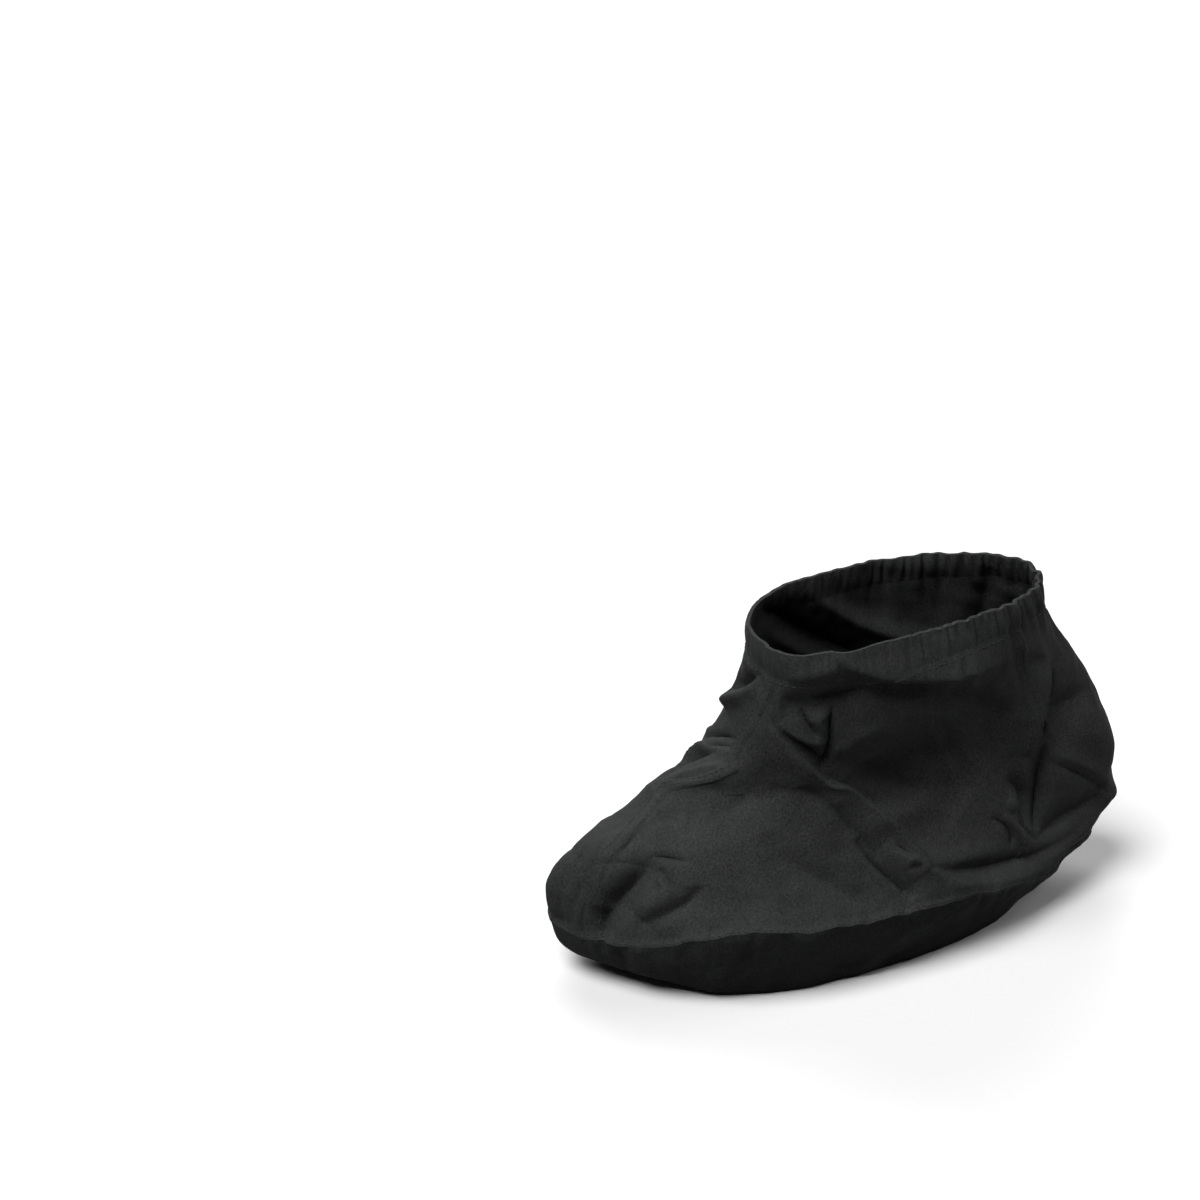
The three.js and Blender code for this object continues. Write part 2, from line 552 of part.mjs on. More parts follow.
export default overshoe;
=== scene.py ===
import math

import bpy
import numpy as np
from mathutils import Matrix, Vector


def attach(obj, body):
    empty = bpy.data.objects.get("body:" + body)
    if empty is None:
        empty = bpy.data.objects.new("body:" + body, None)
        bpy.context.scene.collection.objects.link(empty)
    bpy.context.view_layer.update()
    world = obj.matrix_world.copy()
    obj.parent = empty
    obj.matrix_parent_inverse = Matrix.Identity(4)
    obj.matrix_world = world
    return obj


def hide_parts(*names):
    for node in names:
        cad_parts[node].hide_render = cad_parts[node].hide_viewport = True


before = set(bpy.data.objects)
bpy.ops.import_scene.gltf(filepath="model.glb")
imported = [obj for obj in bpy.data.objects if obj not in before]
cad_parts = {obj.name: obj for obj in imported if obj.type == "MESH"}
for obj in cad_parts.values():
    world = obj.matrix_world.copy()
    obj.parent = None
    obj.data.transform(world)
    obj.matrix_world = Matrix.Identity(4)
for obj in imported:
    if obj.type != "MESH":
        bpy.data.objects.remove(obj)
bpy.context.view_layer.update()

# Camera: three quarters on the toe and the outer side, looking down on the instep. It is level, a metre and
# a half away with a long lens, and the middle of the foot lies right of and below the picture's centre.
view_azimuth = math.radians(64)
view_elevation = math.radians(25)
view_distance = 1.5
lens = 93.6
sensor = 36
foot_middle = Vector((-0.0040, -0.0054, 0.050))
middle_right = 235 / 1200
middle_down = 230 / 1200
back = Vector((math.sin(view_azimuth) * math.cos(view_elevation),
               -math.cos(view_azimuth) * math.cos(view_elevation), math.sin(view_elevation)))
right = Vector((math.cos(view_azimuth), math.sin(view_azimuth), 0))
turn = Matrix((right, back.cross(right), back)).transposed()
sight = Vector((middle_right * sensor / lens, -middle_down * sensor / lens, -1)).normalized()
camera_data = bpy.data.cameras.new("camera")
camera_data.lens = lens
camera_data.sensor_width = sensor
camera = bpy.data.objects.new("camera", camera_data)
camera.matrix_world = Matrix.Translation(foot_middle - view_distance * (turn @ sight)) @ turn.to_4x4()
bpy.context.scene.collection.objects.link(camera)
bpy.context.scene.camera = camera

# Upper: black woven polyester cut as two side panels and a heel panel, sewn down the toe and at both sides.
# The empty cloth keeps the shape of the foot and falls into folds that run from the instep to the sole.
FOOT_LENGTH, FOOT_WIDTH, HEIGHT = 294, 106, 168
OPENING_LENGTH, OPENING_WIDTH, OPENING_SETBACK = 147, 81, 28
BAND_HEIGHT = 26
CLOTH = 1.6
TOE_SLANT_LATERAL, TOE_SLANT_MEDIAL = 0.42, 0.70
SLANT_FADE_START, SLANT_FADE_END = 45, 95
LIFT_PEAK = 27 / 16
SEAM_DIP, DIP_ROUND, DIP_REACH, DIP_TOP = 8, 0.395, 0.035, 0.20
SIDE_SEAM = 0.375
HEM_START = 0.915
# Rings up the foot and the ankle, as shares of the lengths, widths and heights above
RING_COLUMNS = ["front_height", "back_height", "front", "back", "widest", "lateral", "medial", "heel",
                "front_round", "medial_round", "back_round", "ridge", "lift"]
FOOT_RINGS = [
    [0.00, 0.01, -0.447, 0.484, -0.060, 0.552, 0.475, 0.370, 2.25, 2.5, 2.6, 0.00, 0.082],
    [0.11, 0.12, -0.450, 0.513, -0.070, 0.460, 0.445, 0.385, 2.05, 2.4, 2.6, 0.00, 0.034],
    [0.21, 0.24, -0.442, 0.516, -0.070, 0.378, 0.430, 0.390, 1.85, 2.3, 2.5, 0.00, 0.005],
    [0.29, 0.35, -0.416, 0.506, -0.070, 0.308, 0.415, 0.380, 1.72, 2.0, 2.5, -0.02, 0],
    [0.35, 0.45, -0.358, 0.492, -0.060, 0.260, 0.400, 0.370, 1.60, 1.9, 2.4, -0.06, 0],
    [0.41, 0.53, -0.292, 0.470, -0.040, 0.240, 0.395, 0.360, 1.60, 1.9, 2.4, -0.10, 0],
]
ANKLE_RINGS = [
    [0.485, 0.61, -0.65, 0.71, -0.15, 0.370, 0.530, 0.42, 1.6, 2.4, 2.2, -0.04, 0],
    [0.585, 0.70, -0.56, 0.65, -0.09, 0.420, 0.555, 0.42, 1.8, 3.0, 2.2, 0.04, 0],
    [0.710, 0.79, -0.52, 0.58, -0.04, 0.455, 0.555, 0.42, 2.0, 3.2, 2.2, 0.09, 0],
    [0.845, 0.90, -0.50, 0.53, 0.00, 0.460, 0.540, 0.43, 2.1, 3.2, 2.2, 0.13, 0],
    [0.960, 1.00, -0.50, 0.50, 0.01, 0.470, 0.530, 0.46, 2.1, 3.0, 2.2, 0.13, 0],
]
# A fold's line has three points, as shares round the cover (0 at the toe seam, minus on the inner side) and
# up it. Its height, its widths to the left and right and its lean are in millimetres.
FOLD_COLUMNS = ["round0", "up0", "round1", "up1", "round2", "up2", "height", "left", "right", "lean", "crisp"]
FOLDS = [
    # Outer side: the crest that runs from the instep to the sole, with a valley before it and a hollow behind
    [0.014, 0.807, 0.185, 0.425, 0.270, 0.115, 7.5, 2, 22, -2.2, 1.3],
    [0.230, 0.213, 0.270, 0.101, 0.318, 0.029, 4.5, 3.0, 9.0, -1.2, 1.5],
    [0.107, 0.564, 0.193, 0.317, 0.255, 0.043, -2.6, 2.4, 3, 0, 1.5],
    [0.207, 0.255, 0.230, 0.140, 0.260, 0.048, -5, 2.0, 2.4, 0, 1.4],
    [0.210, 0.166, 0.233, 0.077, 0.253, 0.004, -1.2, 1.5, 1.5, 0.0, 1.4],
    [0.232, 0.118, 0.243, 0.063, 0.260, 0.004, -1.2, 1.5, 1.5, 0.0, 1.4],
    [0.123, 0.342, 0.172, 0.175, 0.238, 0.024, -2.4, 5.0, 6.0, 0.0, 1.7],
    [0.237, 0.204, 0.245, 0.185, 0.253, 0.156, -1.6, 1.3, 1.3, 0.0, 1.3],
    [0.248, 0.137, 0.255, 0.128, 0.262, 0.125, -2.2, 2.2, 2.2, 0.0, 1.8],
    [0.167, 0.654, 0.258, 0.431, 0.310, 0.275, -5.0, 22.0, 20.0, 0.0, 2.0],
    [0.112, 0.668, 0.138, 0.720, 0.178, 0.758, 2.4, 5, 6, 0, 1.8],
    [0.125, 0.625, 0.180, 0.478, 0.220, 0.393, 2.4, 6, 5, 0, 1.8],
    [0.217, 0.270, 0.250, 0.298, 0.287, 0.308, 3.2, 6, 7, 0, 1.9],
    [0.220, 0.516, 0.260, 0.459, 0.302, 0.379, 2.2, 7, 8, 0, 2],
    [0.248, 0.734, 0.303, 0.474, 0.320, 0.275, 1.4, 6, 3, 0, 1.6],
    [0.213, 0.763, 0.292, 0.412, 0.302, 0.217, 1.3, 6, 3, 0, 1.6],
    [0.113, 0.696, 0.222, 0.450, 0.268, 0.346, -1.6, 4, 4, 0, 1.8],
    [0.247, 0.156, 0.293, 0.120, 0.345, 0.106, 3.5, 7.0, 4.0, 0.0, 1.7],
    # Tuck beside the instep, a small star of facets where the crest starts
    [0.037, 0.801, 0.068, 0.753, 0.102, 0.720, 3.2, 3.0, 2.0, 0.0, 1.3],
    [0.042, 0.772, 0.085, 0.701, 0.117, 0.625, -4.0, 2.2, 2.0, 0.0, 1.4],
    [0.100, 0.829, 0.103, 0.739, 0.117, 0.611, -5.5, 1.7, 1.9, 0.0, 1.3],
    [0.070, 0.796, 0.088, 0.810, 0.102, 0.824, 3.2, 3.5, 2.5, 0.0, 1.4],
    [0.082, 0.801, 0.093, 0.767, 0.098, 0.720, 2.8, 2.2, 2.0, 0.0, 1.4],
    [0.057, 0.829, 0.072, 0.796, 0.088, 0.744, -2.8, 1.5, 1.5, 0.0, 1.3],
    [0.048, 0.848, 0.067, 0.857, 0.083, 0.838, 2.2, 3.0, 2.5, 0.0, 1.5],
    [0.030, 0.852, 0.083, 0.862, 0.142, 0.886, -7.5, 4.5, 9, 0, 1.6],
    [0.035, 0.927, 0.068, 0.936, 0.103, 0.945, 2.6, 4.0, 4.0, 0.0, 1.8],
    # Collar: the cloth bulges over the ankle and casts a dark crescent under its edge
    [0.095, 0.991, 0.198, 0.886, 0.358, 0.838, 6.0, 9.0, 3.0, 2.0, 1.4],
    [0.103, 0.843, 0.193, 0.867, 0.300, 0.740, -4.0, 3.0, 8.0, 0.0, 1.5],
    [0.240, 0.815, 0.302, 0.725, 0.350, 0.587, -3.5, 4.5, 8.0, 0.0, 1.7],
    [0.060, 1.000, 0.250, 0.986, 0.455, 1.000, -5.0, 9.0, 9.0, 0.0, 2.0],
    # Side seam: a pit with a crumpled lip, and the pleat behind the seam
    [0.347, 0.317, 0.365, 0.242, 0.360, 0.144, -6, 4.5, 4, 0, 1.7],
    [0.347, 0.246, 0.352, 0.226, 0.355, 0.202, 2.6, 3.2, 3.2, 0, 1.8],
    [0.330, 0.207, 0.348, 0.159, 0.350, 0.101, -2.8, 1.6, 1.6, 0.0, 1.2],
    [0.342, 0.202, 0.353, 0.154, 0.362, 0.101, 3.0, 2.4, 2.4, 0.0, 1.4],
    [0.358, 0.173, 0.368, 0.130, 0.377, 0.096, -2.8, 1.6, 1.6, 0.0, 1.2],
    [0.418, 0.756, 0.385, 0.597, 0.373, 0.385, 5.5, 1.8, 9, -2.5, 1.35],
    [0.423, 0.698, 0.403, 0.573, 0.387, 0.429, -3, 1.3, 1.3, 0, 1.3],
    [0.388, 0.409, 0.387, 0.217, 0.377, 0.116, -8, 1.6, 9, 0, 1.5],
    [0.360, 0.862, 0.400, 0.809, 0.427, 0.722, 1.4, 5, 2.5, 0, 1.5],
    # Heel panel: a shaded fold at the top, a bulge, a long crease down to the corner
    [0.393, 0.520, 0.418, 0.535, 0.467, 0.520, -6.5, 7, 9, 0, 1.6],
    [0.433, 0.478, 0.453, 0.332, 0.467, 0.183, 4.0, 11.0, 11.0, 0.0, 2.0],
    [0.390, 0.332, 0.425, 0.241, 0.468, 0.106, -1.6, 1.3, 1.3, 0, 1.3],
    [0.393, 0.361, 0.428, 0.265, 0.470, 0.130, 1.6, 4, 2, 0, 1.5],
    [0.375, 0.096, 0.412, 0.116, 0.460, 0.125, -6, 11, 2.6, 0, 1.5],
    [0.450, 0.125, 0.472, 0.106, 0.496, 0.100, 4.5, 5, 6, 0, 1.6],
    # Skirt along the sole seam, from the middle of the foot to the heel
    [0.280, 0.053, 0.345, 0.029, 0.410, 0.034, 4.5, 4.0, 7.0, 0.0, 1.6],
    [0.375, 0.053, 0.428, 0.058, 0.467, 0.091, 3.2, 3, 5, 0, 1.6],
    [0.290, 0.101, 0.347, 0.067, 0.405, 0.072, -4.2, 3.5, 3.2, 0.0, 1.4],
    # Toe: the deep dimple with its branches, the bump beside it and the small creases above
    [0.045, 0.289, 0.032, 0.180, 0.013, 0.047, -8, 6.5, 6, 0, 1.8],
    [0.015, 0.110, 0.013, 0.050, 0.018, 0.000, -4.5, 4.5, 4.5, 0.0, 1.6],
    [0.050, 0.265, 0.058, 0.231, 0.070, 0.171, -2, 1.5, 1.8, 0, 1.3],
    [0.048, 0.217, 0.053, 0.202, 0.060, 0.171, -2.0, 1.4, 1.4, 0.0, 1.3],
    [0.037, 0.299, 0.053, 0.299, 0.073, 0.270, -2.4, 1.4, 1.8, 0.0, 1.2],
    [0.043, 0.207, 0.050, 0.142, 0.047, 0.085, 3.2, 7, 7, 0, 1.9],
    [0.083, 0.199, 0.075, 0.133, 0.040, 0.071, -3.0, 3.5, 4.0, 0.0, 1.7],
    [-0.002, 0.246, 0.018, 0.279, 0.043, 0.270, -1, 1.8, 2.4, 0, 1.5],
    [0.015, 0.294, 0.012, 0.337, 0.012, 0.380, -1.2, 1.8, 2.6, 0, 1.5],
    [-0.007, 0.327, -0.002, 0.226, -0.008, 0.095, -1.6, 1.8, 1.8, 0.0, 1.4],
    [-0.003, 0.217, -0.003, 0.114, -0.008, 0.005, 1.3, 1.8, 1.8, 0.0, 1.5],
    [-0.015, 0.294, -0.018, 0.152, -0.020, 0.005, -1.5, 2.0, 2.0, 0.0, 1.5],
    [-0.030, 0.241, -0.028, 0.120, -0.030, 0.000, 1.3, 2.2, 2.2, 0.0, 1.6],
    [-0.033, 0.241, -0.041, 0.110, -0.035, 0.028, -1.3, 2.4, 2.4, 0.0, 1.6],
    [-0.035, 0.222, -0.035, 0.130, -0.033, 0.034, 3.2, 13, 13, 0, 2],
    # Vamp: faint hollows beside the toe seam
    [-0.038, 0.308, -0.023, 0.395, -0.013, 0.482, -3.2, 12, 12, 0, 2],
    [0.042, 0.573, 0.078, 0.493, 0.053, 0.422, -1.9, 4.5, 5.0, 0.0, 1.8],
    [0.030, 0.469, 0.042, 0.445, 0.055, 0.422, -1.4, 1.6, 3.0, 0.0, 1.4],
    [0.010, 0.445, 0.025, 0.431, 0.040, 0.417, -1.8, 4.0, 4.0, 0.0, 1.8],
    # Instep, inner side: the rolled lip over the front of the ankle with its hollow, and the arch below it
    [-0.068, 0.748, -0.057, 0.786, -0.010, 0.876, 6, 2.6, 5, 2, 1.5],
    [-0.063, 0.801, -0.047, 0.829, -0.013, 0.900, -6.0, 4.0, 2.0, 0.0, 1.6],
    [-0.062, 0.900, -0.038, 0.891, -0.013, 0.886, 3.2, 5.0, 4.0, 0.0, 1.8],
    [-0.058, 0.616, -0.045, 0.673, -0.005, 0.711, -3.2, 1.5, 1.6, 0.0, 1.3],
    [-0.053, 0.611, -0.030, 0.658, -0.002, 0.687, -2.6, 1.4, 1.4, 0.0, 1.3],
    [-0.048, 0.521, -0.052, 0.602, -0.005, 0.677, 4.6, 2.8, 4, 0, 1.5],
    [-0.027, 0.502, -0.040, 0.592, -0.015, 0.654, -4.5, 3.0, 2.6, 0.0, 1.5],
    [-0.013, 0.507, -0.008, 0.592, 0.013, 0.635, 3.0, 3.0, 4.0, 0.0, 1.6],
    [0.018, 0.644, 0.012, 0.578, -0.012, 0.507, 2.2, 3.0, 2.4, 0.0, 1.4],
    # Inner side: folds that fan out from the instep to the sole and the heel
    [-0.030, 0.658, -0.050, 0.549, -0.085, 0.400, -3.0, 4.0, 5.0, 0.0, 1.8],
    [-0.045, 0.639, -0.090, 0.430, -0.110, 0.220, -4.0, 3.5, 6.0, 0.0, 1.5],
    [-0.053, 0.663, -0.150, 0.420, -0.235, 0.150, 6.0, 10.0, 3.0, 1.5, 1.4],
    [-0.057, 0.606, -0.130, 0.360, -0.200, 0.130, -3.0, 4.0, 3.0, 0.0, 1.5],
    [-0.100, 0.700, -0.190, 0.520, -0.310, 0.240, -5.0, 6.0, 7.0, 0.0, 1.6],
    [-0.068, 0.739, -0.180, 0.590, -0.300, 0.360, 3.5, 3.0, 6.0, 0.0, 1.5],
    [-0.120, 0.970, -0.230, 0.760, -0.330, 0.500, 5.5, 7.0, 5.0, 1.0, 1.5],
    [-0.140, 0.880, -0.230, 0.680, -0.320, 0.420, -3.5, 4.0, 5.0, 0.0, 1.6],
    [-0.200, 0.960, -0.290, 0.780, -0.400, 0.600, -4.5, 6.0, 5.0, 0.0, 1.6],
    [-0.355, 0.520, -0.375, 0.300, -0.370, 0.080, 3.5, 7.0, 3.0, 0.0, 1.5],
    [-0.330, 0.180, -0.260, 0.070, -0.160, 0.050, -3.0, 4.0, 4.0, 0.0, 1.6],
    # Back: soft folds below the gathers
    [-0.440, 0.950, -0.420, 0.780, -0.400, 0.620, 3.5, 5.0, 5.0, 0.0, 1.7],
    [-0.470, 0.900, -0.475, 0.700, -0.455, 0.480, -3.0, 5.0, 4.0, 0.0, 1.6],
    [0.453, 1.000, 0.500, 0.800, 0.500, 0.660, -3.5, 5.0, 5.0, 0.0, 1.7],
    [-0.470, 0.420, -0.440, 0.250, -0.400, 0.120, -3.0, 4.0, 4.0, 0.0, 1.5],
]
COLUMNS = 600
UPPER_ROWS, HEM_ROWS = 190, 22
FOLD_POINTS, FOLD_END_TAPER, FOLD_CUT_OFF = 25, 0.7, 3
ups = np.concatenate([np.linspace(0, HEM_START, UPPER_ROWS + 1), np.linspace(HEM_START, 1, HEM_ROWS + 1)[1:]])
cad_shift = np.array([-3.953, -5.390, 0])
chance = np.random.default_rng(7)


def smooth(share):
    share = np.clip(share, 0, 1)
    return share * share * (3 - 2 * share)


def ring_values(up):
    """The ring table at shares of the way up, on a smooth curve through its rows, in millimetres."""
    rise = HEIGHT - BAND_HEIGHT
    rows = []
    for table, length, width, setback in ((FOOT_RINGS, FOOT_LENGTH, FOOT_WIDTH, 0),
                                          (ANKLE_RINGS, OPENING_LENGTH, OPENING_WIDTH, OPENING_SETBACK)):
        scale = np.array([rise, rise, length, length, length, width, width, width, 1, 1, 1, width, rise])
        start = np.array([BAND_HEIGHT, BAND_HEIGHT, setback, setback, setback] + [0] * 8)
        rows += [start + np.array(row) * scale for row in table]
    rows = np.array(rows)
    place = np.clip(up, 0, 1) * (len(rows) - 1)
    index = np.minimum(place.astype(int), len(rows) - 2)
    s = (place - index)[:, None]
    before, first = rows[np.maximum(index - 1, 0)], rows[index]
    second, after = rows[index + 1], rows[np.minimum(index + 2, len(rows) - 1)]
    leave, arrive = (second - before) / 2, (after - first) / 2
    return ((2 * s**3 - 3 * s**2 + 1) * first + (s**3 - 2 * s**2 + s) * leave
            + (3 * s**2 - 2 * s**3) * second + (s**3 - s**2) * arrive)


def ring_points(values, columns, detail=400):
    """One ring as evenly spaced points, from the toe round the outer side and back along the inner side."""
    ring = dict(zip(RING_COLUMNS, values))
    angle = np.linspace(0, 2 * math.pi, 2 * detail + 1)
    ahead, aside = np.cos(angle), np.sin(angle)
    outer = np.arange(len(angle)) <= detail
    forward = np.maximum(ahead, 0)
    side = np.where(outer, ring["lateral"], ring["medial"])
    half_width = side + (ring["heel"] - side) * smooth(-ahead)
    front_round = np.where(outer, ring["front_round"], ring["medial_round"])
    power = 2 / np.where(ahead >= 0, front_round, ring["back_round"])
    across = half_width * np.sign(aside) * np.abs(aside) ** power
    x = across + ring["ridge"] * forward**2
    fade = np.clip((SLANT_FADE_END - ring["front_height"]) / (SLANT_FADE_END - SLANT_FADE_START), 0, 1)
    slant = np.where(outer, TOE_SLANT_LATERAL, TOE_SLANT_MEDIAL) * fade * forward**1.5
    reach = np.where(ahead >= 0, ring["front"], ring["back"]) - ring["widest"]
    y = ring["widest"] + reach * np.abs(ahead) ** power + slant * (x - ring["ridge"])
    level = ring["front_height"] + (ring["back_height"] - ring["front_height"]) * (1 - ahead) / 2
    z = level + ring["lift"] * np.maximum(aside, 0) ** 2 * (1 + ahead) ** 2 / LIFT_PEAK
    points = np.stack([x, y, z], 1)
    halves = []
    for half in (points[:detail + 1], points[detail:]):
        reached = np.concatenate([[0], np.cumsum(np.linalg.norm(np.diff(half, axis=0), axis=1))])
        wanted = np.linspace(0, reached[-1], columns // 2 + 1)
        halves.append(np.stack([np.interp(wanted, reached, half[:, k]) for k in range(3)], 1))
    return np.concatenate([halves[0], halves[1][1:]])


def unit(vectors):
    return vectors / np.maximum(np.linalg.norm(vectors, axis=-1, keepdims=True), 1e-9)


def grid_normals(grid):
    """Outward normals of a grid that closes on itself round the cover."""
    around = np.empty_like(grid)
    around[:, 1:-1] = grid[:, 2:] - grid[:, :-2]
    around[:, 0] = around[:, -1] = grid[:, 1] - grid[:, -2]
    return unit(np.cross(around, np.gradient(grid, axis=0)))


def grid_point(grid, around, row):
    """Points of a grid at shares round it and at row places, between its own points."""
    i = np.clip(np.floor(row).astype(int), 0, len(grid) - 2)
    place = (around % 1) * (grid.shape[1] - 1)
    j = np.minimum(place.astype(int), grid.shape[1] - 2)
    a, b = (row - i)[..., None], (place - j)[..., None]
    return ((grid[i, j] * (1 - b) + grid[i, j + 1] * b) * (1 - a)
            + (grid[i + 1, j] * (1 - b) + grid[i + 1, j + 1] * b) * a)


def row_at(up):
    """The row place of a share of the way up."""
    return np.interp(up, ups, np.arange(len(ups)))


def bent_line(first, second, third, ways):
    """A curve from the first value to the third that passes the second half-way along."""
    pull = 2 * second - (first + third) / 2
    return (1 - ways)**2 * first + 2 * ways * (1 - ways) * pull + ways**2 * third


def fold_shift(fold, grid, normals, even):
    """How far one fold moves each point: outwards by its height, and sideways where it leans over."""
    fold = dict(zip(FOLD_COLUMNS, fold))
    ways = np.linspace(0, 1, FOLD_POINTS)
    around = bent_line(fold["round0"], fold["round1"], fold["round2"], ways)
    up = bent_line(fold["up0"], fold["up1"], fold["up2"], ways)
    line = grid_point(even, around, row_at(np.clip(up, 0, 1)))
    reach = FOLD_CUT_OFF * max(fold["left"], fold["right"])
    near = np.all((grid > line.min(0) - reach) & (grid < line.max(0) + reach), axis=-1)
    points, out = grid[near], normals[near]
    steps = np.diff(line, axis=0)
    away = points[:, None] - line[None, :-1]
    share = np.clip((away * steps).sum(-1) / (steps**2).sum(-1), 0, 1)
    away = away - share[..., None] * steps
    distance = np.linalg.norm(away, axis=-1)
    pick = np.argmin(distance, axis=1)
    rows = np.arange(len(points))
    along = (pick + share[rows, pick]) / len(steps)
    sideways = unit(np.cross(steps[pick], out))
    right = (sideways * away[rows, pick]).sum(-1) >= 0
    half_width = np.where(right, fold["right"], fold["left"])
    profile = np.exp(-(distance[rows, pick] / half_width) ** fold["crisp"])
    profile *= np.clip(np.sin(math.pi * along), 0, 1) ** FOLD_END_TAPER
    shift = np.zeros_like(grid)
    shift[near] = (out * fold["height"] + sideways * fold["lean"]) * profile[:, None]
    return shift


def soft_noise(points, size, waves=40):
    """Smooth random waves of about this size in millimetres, mostly between -1 and 1."""
    total = np.zeros(points.shape[:-1])
    for k in range(waves):
        direction = unit(chance.normal(size=3))
        length = size * chance.uniform(0.7, 1.6)
        total += np.sin(points @ (direction * 2 * math.pi / length) + chance.uniform(0, 2 * math.pi))
    return total / math.sqrt(waves)


# The toe seam isn't straight: pulled over the instep, it kinks at the arch and wanders down to the toe
TOE_SEAM_UP = [0, 0.06, 0.14, 0.22, 0.34, 0.51, 0.585, 0.635, 0.665, 0.71, 0.78, 0.86, 0.93, 1]
TOE_SEAM_ROUND = [0.008, 0.005, 0.009, 0.003, 0.006, -0.006, 0.011,
                  0.017, 0.003, -0.003, 0.001, 0.007, 0.010, 0.010]
TOE_SEAM_REACH, SIDE_SEAM_REACH = 0.07, 0.035
# The side seam beside the outer ankle swings forward below the ankle bone
SIDE_SEAM_UP = [0, 0.12, 0.25, 0.35, 0.42, 0.52, 0.67, 0.80, 1]
SIDE_SEAM_ROUND = [-0.009, -0.012, -0.013, -0.010, -0.005, -0.002, -0.003, 0.001, 0]
rounds = np.linspace(0, 1, COLUMNS + 1)
from_toe = (rounds + 0.5) % 1 - 0.5
even = np.stack([ring_points(values, COLUMNS) for values in ring_values(ups)])
dip = SEAM_DIP * np.exp(-((rounds - DIP_ROUND) / DIP_REACH) ** 2)
even[..., 2] -= dip * np.clip(1 - ups / DIP_TOP, 0, 1)[:, None] ** 2
plain = np.empty_like(even)
for i, up in enumerate(ups):
    toe_aside = np.interp(up, TOE_SEAM_UP, TOE_SEAM_ROUND)
    side_aside = np.interp(up, SIDE_SEAM_UP, SIDE_SEAM_ROUND)
    wanted = (rounds + toe_aside * np.exp(-(from_toe / TOE_SEAM_REACH) ** 2)
              + side_aside * np.exp(-((rounds - SIDE_SEAM) / SIDE_SEAM_REACH) ** 2))
    for k in range(3):
        plain[i, :, k] = np.interp(wanted, rounds[:-1], even[i, :-1, k], period=1)
out = grid_normals(plain)
surface = plain.copy()
for fold in FOLDS:
    surface += fold_shift(fold, plain, out, even)
row_gaps = np.linalg.norm(np.diff(plain, axis=0), axis=-1)
climb = np.concatenate([np.zeros((1, COLUMNS + 1)), np.cumsum(row_gaps, 0)])
below_hem = np.clip(climb[UPPER_ROWS] - climb, 0, None)
girth = np.linalg.norm(np.diff(plain, axis=1), axis=-1).sum(1)

# Felled seams: a flat raised strip where the edges of two panels are folded together and stitched twice
SEAM_STRIPS = [(0, 3.1, 0.6), (SIDE_SEAM, 2.7, 0.5), (1 - SIDE_SEAM, 2.7, 0.5)]
STRIP_SLOPE = 0.9
for middle, half, height in SEAM_STRIPS:
    away = np.abs((rounds - middle + 0.5) % 1 - 0.5) * girth[:, None]
    surface += out * (height * (1 - smooth((away - half) / STRIP_SLOPE)))[..., None]

# Gathers that the elastic draws in at the back of the ankle, uneven and running out down the heel
GATHERS_START, GATHERS_END = 0.16, 0.84
GATHER_STEP, GATHER_WIDTH, GATHER_DRIFT = (0.014, 0.030), (0.0045, 0.008), (-0.012, 0.012)
GATHER_HEIGHT, GATHER_RUN = (0.8, 2.4), (14, 42)
behind = smooth((1 - np.cos(2 * math.pi * rounds)) / 2)
ripple = np.zeros(surface.shape[:2])
place = GATHERS_START
while place < GATHERS_END:
    place += chance.uniform(*GATHER_STEP)
    width = chance.uniform(*GATHER_WIDTH)
    height = chance.uniform(*GATHER_HEIGHT)
    run = chance.uniform(*GATHER_RUN)
    drift = chance.uniform(*GATHER_DRIFT)
    centre = place + drift * below_hem / run
    spread = width * (1 + below_hem / run)
    ripple += height * np.exp(-((rounds - centre) / spread) ** 2) * np.exp(-(below_hem / run) ** 2)
surface += out * (ripple * behind)[..., None]


def seam_puckers(climbs, steps, widths, height, runs, lean=0):
    """Random puckers along the sole seam that run out away from it. Pairs are a least and a greatest size."""
    pucker = np.zeros(climbs.shape)
    place = 0
    while place < 1:
        place += chance.uniform(*steps)
        width = chance.uniform(*widths)
        rise = chance.uniform(-height, height)
        run = chance.uniform(*runs)
        tilt = chance.uniform(-lean, lean) / girth[0] if lean else 0
        away = (rounds - place - tilt * climbs + 0.5) % 1 - 0.5
        pucker += rise * np.exp(-(away / width) ** 2) * np.exp(-(climbs / run) ** 2)
    return pucker


# Puckers along the sole seam, and soft waves where the cloth is slack
SLACK_WAVES = [(0.45, 26), (0.18, 11)]
puckers = seam_puckers(climb, (0.006, 0.022), (0.0022, 0.0050), 0.5, (5, 15), 0.3)
surface += out * puckers[..., None]
for height, length in SLACK_WAVES:
    surface += out * (height * soft_noise(plain, length))[..., None]

# The cloth stands out in a small lip along the sole seam, which wavers up and down where it was sewn
LIP_HEIGHT, LIP_REACH = 1.1, 2.4
WAVER_HEIGHT, WAVER_REACH = 1.43, 9
WAVER_CYCLES = [7, 11, 17, 26, 38, 61]
waver = np.zeros(COLUMNS + 1)
for cycles in WAVER_CYCLES:
    waver += WAVER_HEIGHT / math.sqrt(cycles) * np.sin(2 * math.pi * (cycles * rounds + chance.uniform()))
surface += out * (LIP_HEIGHT * np.exp(-(climb / LIP_REACH) ** 2))[..., None]
surface[..., 2] += waver * np.exp(-(climb / WAVER_REACH) ** 2)
surface[:, -1] = surface[:, 0]
normals = grid_normals(surface)


